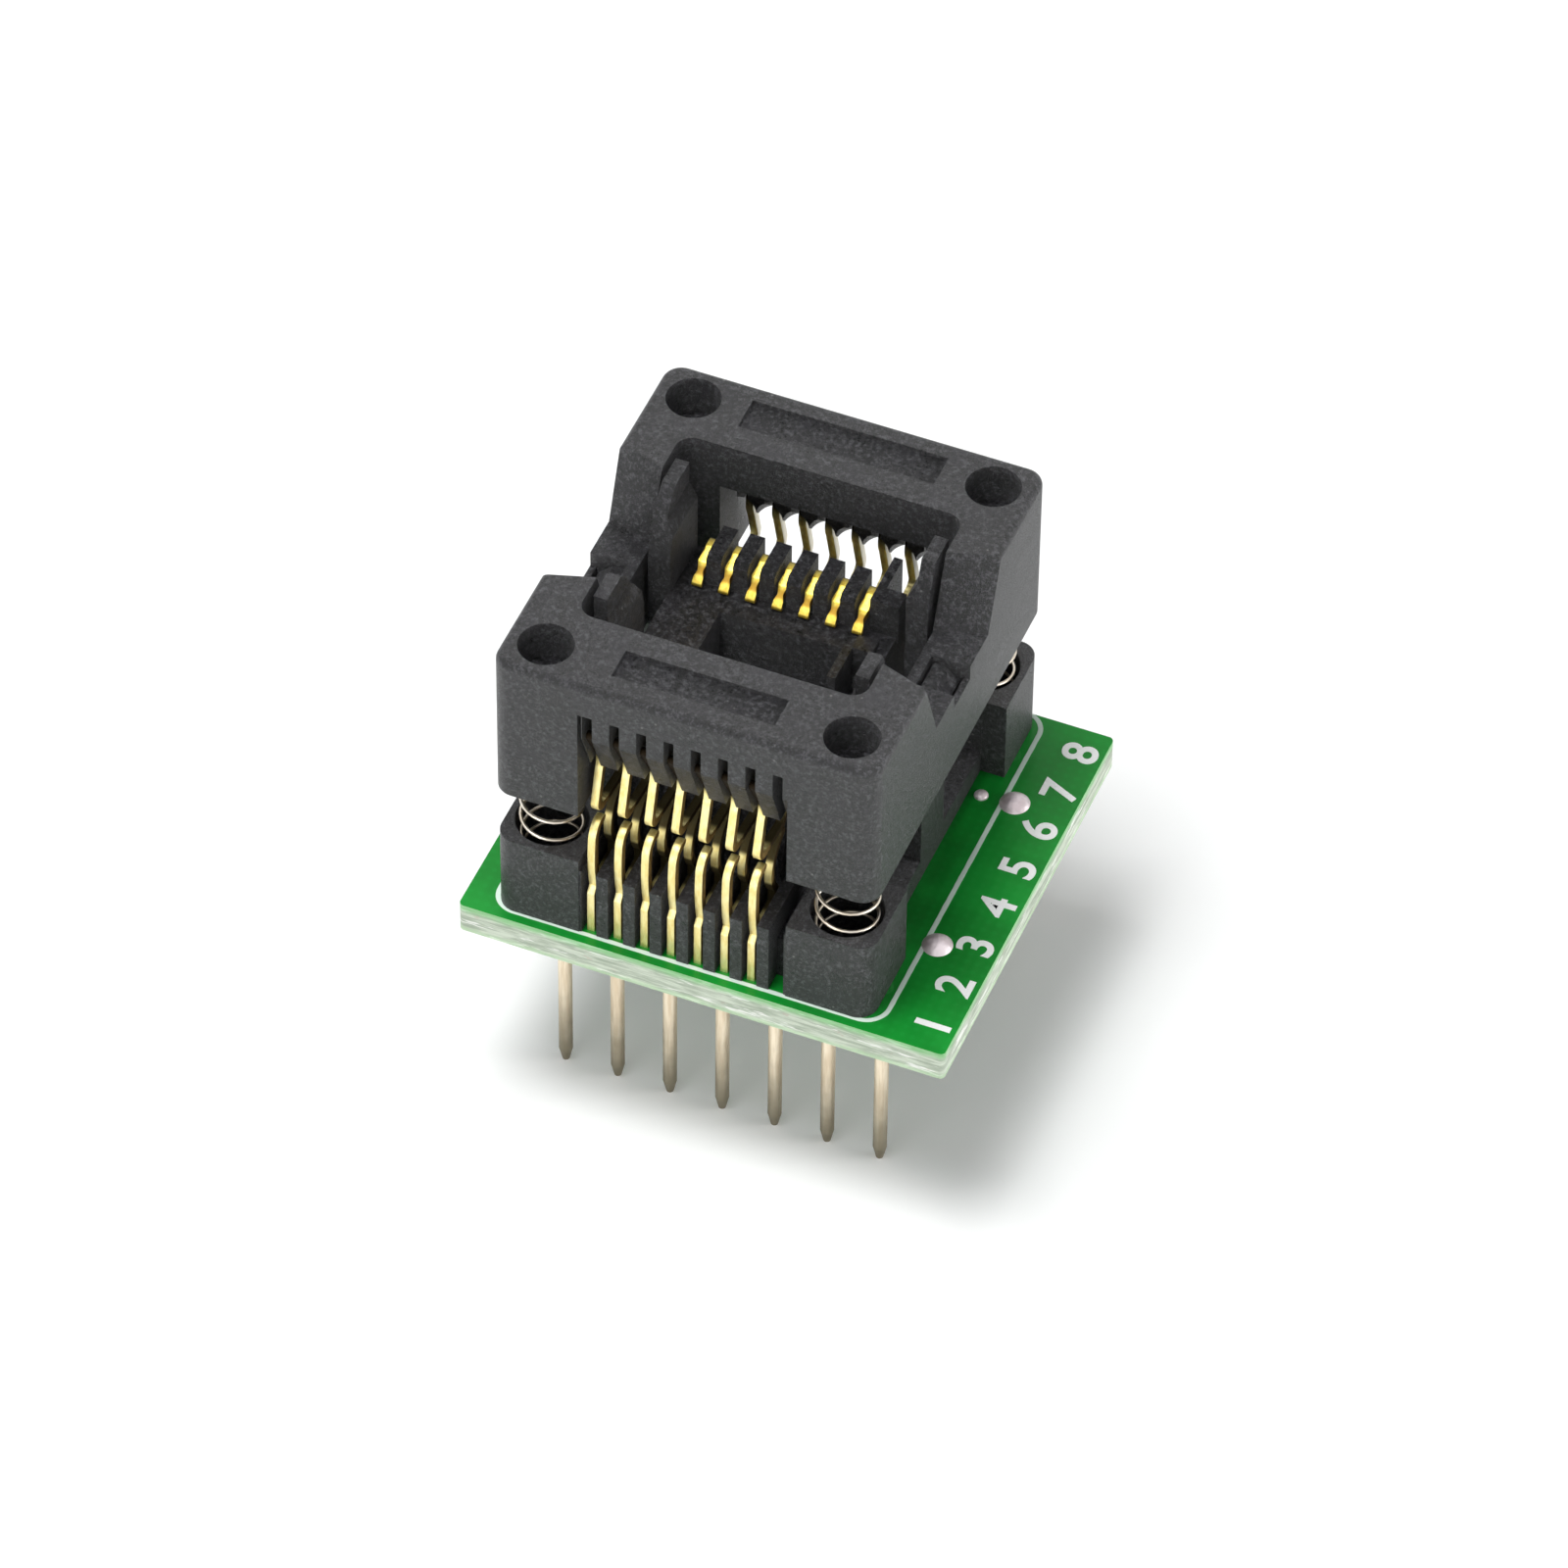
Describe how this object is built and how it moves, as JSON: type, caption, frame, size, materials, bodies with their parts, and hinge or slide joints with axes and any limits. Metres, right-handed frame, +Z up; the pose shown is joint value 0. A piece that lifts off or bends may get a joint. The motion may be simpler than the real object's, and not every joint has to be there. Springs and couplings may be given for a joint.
{
  "type": "sop to dip adapter board",
  "caption": "Small-outline chip socket with a sprung press-down cover on a green adapter board, with two rows of pins for a DIP socket.",
  "frame": {"origin": "middle of the board's footprint, at the height of the pin tips", "axes": "+Z up, from the pins to the cover; +X to the right, towards the board's free strip; +Y to the back row of contacts"},
  "size_m": [0.023, 0.0208, 0.0268],
  "materials": {
    "board": "green solder mask over glass fibre, satin",
    "black_plastic": "glass-filled moulded plastic, fine grained",
    "gold_contact": "gold-plated spring bronze",
    "pin_metal": "thin gilt over brass, dull",
    "spring_steel": "drawn wire",
    "solder": "satin solder"
  },
  "bodies": {
    "board_and_base": {"circuit_board": "board", "socket_base": "black_plastic", "pin_solder_joints": "solder", "contact_solder_joints": "solder", "edge_solder_joints": "solder", "pin_front_1": "pin_metal", "pin_front_2": "pin_metal", "pin_front_3": "pin_metal", "pin_front_4": "pin_metal", "pin_front_5": "pin_metal", "pin_front_6": "pin_metal", "pin_front_7": "pin_metal", "pin_back_1": "pin_metal", "pin_back_2": "pin_metal", "pin_back_3": "pin_metal", "pin_back_4": "pin_metal", "pin_back_5": "pin_metal", "pin_back_6": "pin_metal", "pin_back_7": "pin_metal", "contact_front_1": "gold_contact", "contact_front_2": "gold_contact", "contact_front_3": "gold_contact", "contact_front_4": "gold_contact", "contact_front_5": "gold_contact", "contact_front_6": "gold_contact", "contact_front_7": "gold_contact", "contact_back_1": "gold_contact", "contact_back_2": "gold_contact", "contact_back_3": "gold_contact", "contact_back_4": "gold_contact", "contact_back_5": "gold_contact", "contact_back_6": "gold_contact", "contact_back_7": "gold_contact", "spring_front_left": "spring_steel", "spring_front_right": "spring_steel", "spring_back_left": "spring_steel", "spring_back_right": "spring_steel"},
    "cover": {"socket_cover": "black_plastic"},
    "front_contact_arms": {"contact_arm_front_1": "gold_contact", "contact_arm_front_2": "gold_contact", "contact_arm_front_3": "gold_contact", "contact_arm_front_4": "gold_contact", "contact_arm_front_5": "gold_contact", "contact_arm_front_6": "gold_contact", "contact_arm_front_7": "gold_contact"},
    "back_contact_arms": {"contact_arm_back_1": "gold_contact", "contact_arm_back_2": "gold_contact", "contact_arm_back_3": "gold_contact", "contact_arm_back_4": "gold_contact", "contact_arm_back_5": "gold_contact", "contact_arm_back_6": "gold_contact", "contact_arm_back_7": "gold_contact"}
  },
  "joints": [
    {"name": "cover_press", "type": "slide", "parent": "board_and_base", "child": "cover", "axis": [0, 0, -1], "range_m": [0, 0.0027], "stiffness_N_per_m": 2000, "springref_m": -0.0012, "deforming": ["spring_front_left", "spring_front_right", "spring_back_left", "spring_back_right"]},
    {"name": "front_contacts_open", "type": "hinge", "parent": "board_and_base", "child": "front_contact_arms", "pos_m": [-0.00108, -0.00635, 0.0177], "axis": [1, 0, 0], "range_deg": [0, 12]},
    {"name": "back_contacts_open", "type": "hinge", "parent": "board_and_base", "child": "back_contact_arms", "pos_m": [-0.00108, 0.00685, 0.0177], "axis": [-1, 0, 0], "range_deg": [0, 12]}
  ],
  "couplings": [
    {"joint": "front_contacts_open", "follows": "cover_press", "rad_per_m": 77.52},
    {"joint": "back_contacts_open", "follows": "cover_press", "rad_per_m": 77.52}
  ]
}
